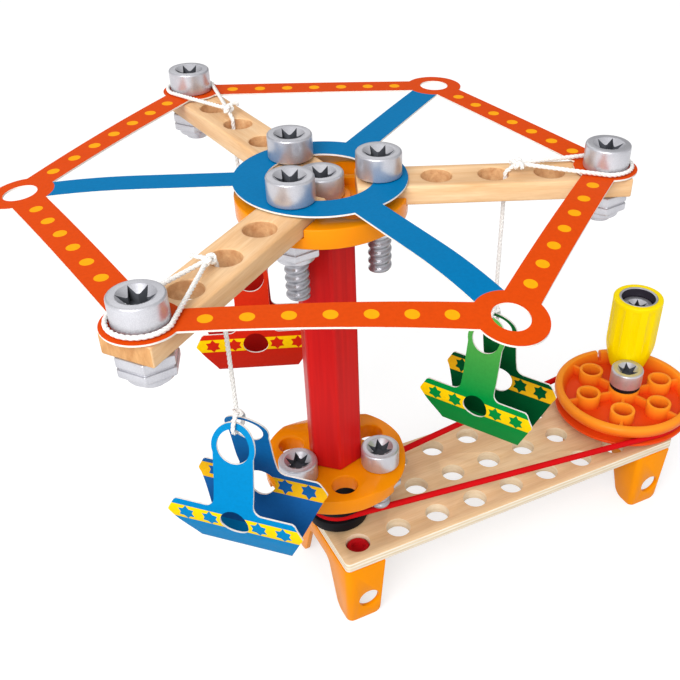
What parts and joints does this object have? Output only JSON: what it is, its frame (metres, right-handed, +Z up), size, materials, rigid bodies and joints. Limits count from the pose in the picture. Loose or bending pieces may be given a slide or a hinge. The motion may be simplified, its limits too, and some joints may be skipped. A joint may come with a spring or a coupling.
{
  "type": "hand cranked carousel toy",
  "caption": "Hand cranked toy carousel of bolted wood and plastic kit pieces: gondolas hang on cords from arms on a column that a belt turns.",
  "frame": {"origin": "centre of the outline box on the floor, under the leg feet's plane", "axes": "+Z up, +X along the base board from the carousel to the crank, +Y to the board's back edge"},
  "size_m": [0.373, 0.2756, 0.2606],
  "materials": {
    "plywood": "smooth sanded",
    "beech": "smooth sanded",
    "red_paint": "satin paint",
    "printed_card": "printed, satin",
    "orange_plastic": "glossy moulded",
    "wheel_plastic": "glossy moulded",
    "silver_plastic": "metallic paint",
    "black_rubber": "matte",
    "red_rubber": "satin",
    "yellow_plastic": "glossy moulded",
    "red_plastic": "glossy moulded",
    "white_cord": "braided cotton",
    "green_card": "printed, satin",
    "red_card": "printed, satin",
    "blue_card": "printed, satin"
  },
  "bodies": {
    "base": {"base_board": "plywood", "leg_bracket_left": "orange_plastic", "leg_bracket_right": "orange_plastic", "leg_peg_left_front": "red_plastic", "leg_peg_left_back": "red_plastic", "leg_peg_right_front": "red_plastic", "leg_peg_right_back": "red_plastic", "drive_belt": "red_rubber", "crank_spacer": "black_rubber", "rubber_washer": "black_rubber", "crank_bolt": "silver_plastic", "crank_nut": "silver_plastic"},
    "carousel": {"axle_bolt": "silver_plastic", "axle_washer": "black_rubber", "small_pulley": "black_rubber", "pulley_spacer": "black_rubber", "lower_hub": "orange_plastic", "column": "red_paint", "lower_bolt_1": "silver_plastic", "lower_bolt_2": "silver_plastic", "lower_bolt_3": "silver_plastic", "lower_nut_1": "silver_plastic", "lower_nut_2": "silver_plastic", "lower_nut_3": "silver_plastic", "top_hub": "orange_plastic", "centre_bolt": "silver_plastic", "card_frame": "printed_card", "arm_green": "beech", "hub_bolt_green": "silver_plastic", "hub_nut_green": "silver_plastic", "tip_bolt_green": "silver_plastic", "tip_nut_green": "silver_plastic", "arm_cord_green": "white_cord", "arm_red": "beech", "hub_bolt_red": "silver_plastic", "hub_nut_red": "silver_plastic", "tip_bolt_red": "silver_plastic", "tip_nut_red": "silver_plastic", "arm_cord_red": "white_cord", "arm_blue": "beech", "hub_bolt_blue": "silver_plastic", "hub_nut_blue": "silver_plastic", "tip_bolt_blue": "silver_plastic", "tip_nut_blue": "silver_plastic", "arm_cord_blue": "white_cord"},
    "crank": {"crank_wheel": "wheel_plastic", "grip_bolt": "silver_plastic"},
    "crank_grip": {"grip": "yellow_plastic"},
    "drop_green": {"cord_drop_green": "white_cord"},
    "drop_red": {"cord_drop_red": "white_cord"},
    "drop_blue": {"cord_drop_blue": "white_cord"},
    "ride_green": {"gondola_green": "green_card", "gondola_tie_green": "white_cord"},
    "ride_red": {"gondola_red": "red_card", "gondola_tie_red": "white_cord"},
    "ride_blue": {"gondola_blue": "blue_card", "gondola_tie_blue": "white_cord"}
  },
  "joints": [
    {"name": "carousel_spin", "type": "hinge", "parent": "base", "child": "carousel", "pos_m": [-0.05693, 0, 0.0468], "axis": [0, 0, 1], "continuous": true},
    {"name": "crank_spin", "type": "hinge", "parent": "base", "child": "crank", "pos_m": [0.14308, 0, 0.0468], "axis": [0, 0, 1], "continuous": true},
    {"name": "grip_spin", "type": "hinge", "parent": "crank", "child": "crank_grip", "pos_m": [0.15944, 0.0189, 0.0681], "axis": [0, 0, 1], "continuous": true},
    {"name": "swing_green", "type": "hinge", "parent": "carousel", "child": "drop_green", "pos_m": [0.01751, -0.03053, 0.24], "axis": [-0.3795, -0.9252, 0], "range_deg": [-10, 25]},
    {"name": "swing_red", "type": "hinge", "parent": "carousel", "child": "drop_red", "pos_m": [-0.06771, 0.07973, 0.24], "axis": [0.991, 0.134, 0], "range_deg": [-10, 25]},
    {"name": "swing_blue", "type": "hinge", "parent": "carousel", "child": "drop_blue", "pos_m": [-0.12058, -0.0492, 0.24], "axis": [-0.6115, 0.7912, 0], "range_deg": [-10, 25]},
    {"name": "twist_green", "type": "hinge", "parent": "drop_green", "child": "ride_green", "pos_m": [0.01751, -0.03053, 0.1812], "axis": [0, 0, 1], "continuous": true},
    {"name": "twist_red", "type": "hinge", "parent": "drop_red", "child": "ride_red", "pos_m": [-0.06771, 0.07973, 0.1812], "axis": [0, 0, 1], "continuous": true},
    {"name": "twist_blue", "type": "hinge", "parent": "drop_blue", "child": "ride_blue", "pos_m": [-0.12058, -0.0492, 0.1812], "axis": [0, 0, 1], "continuous": true}
  ],
  "couplings": [
    {"joint": "crank_spin", "follows": "carousel_spin", "ratio": 0.35443}
  ]
}
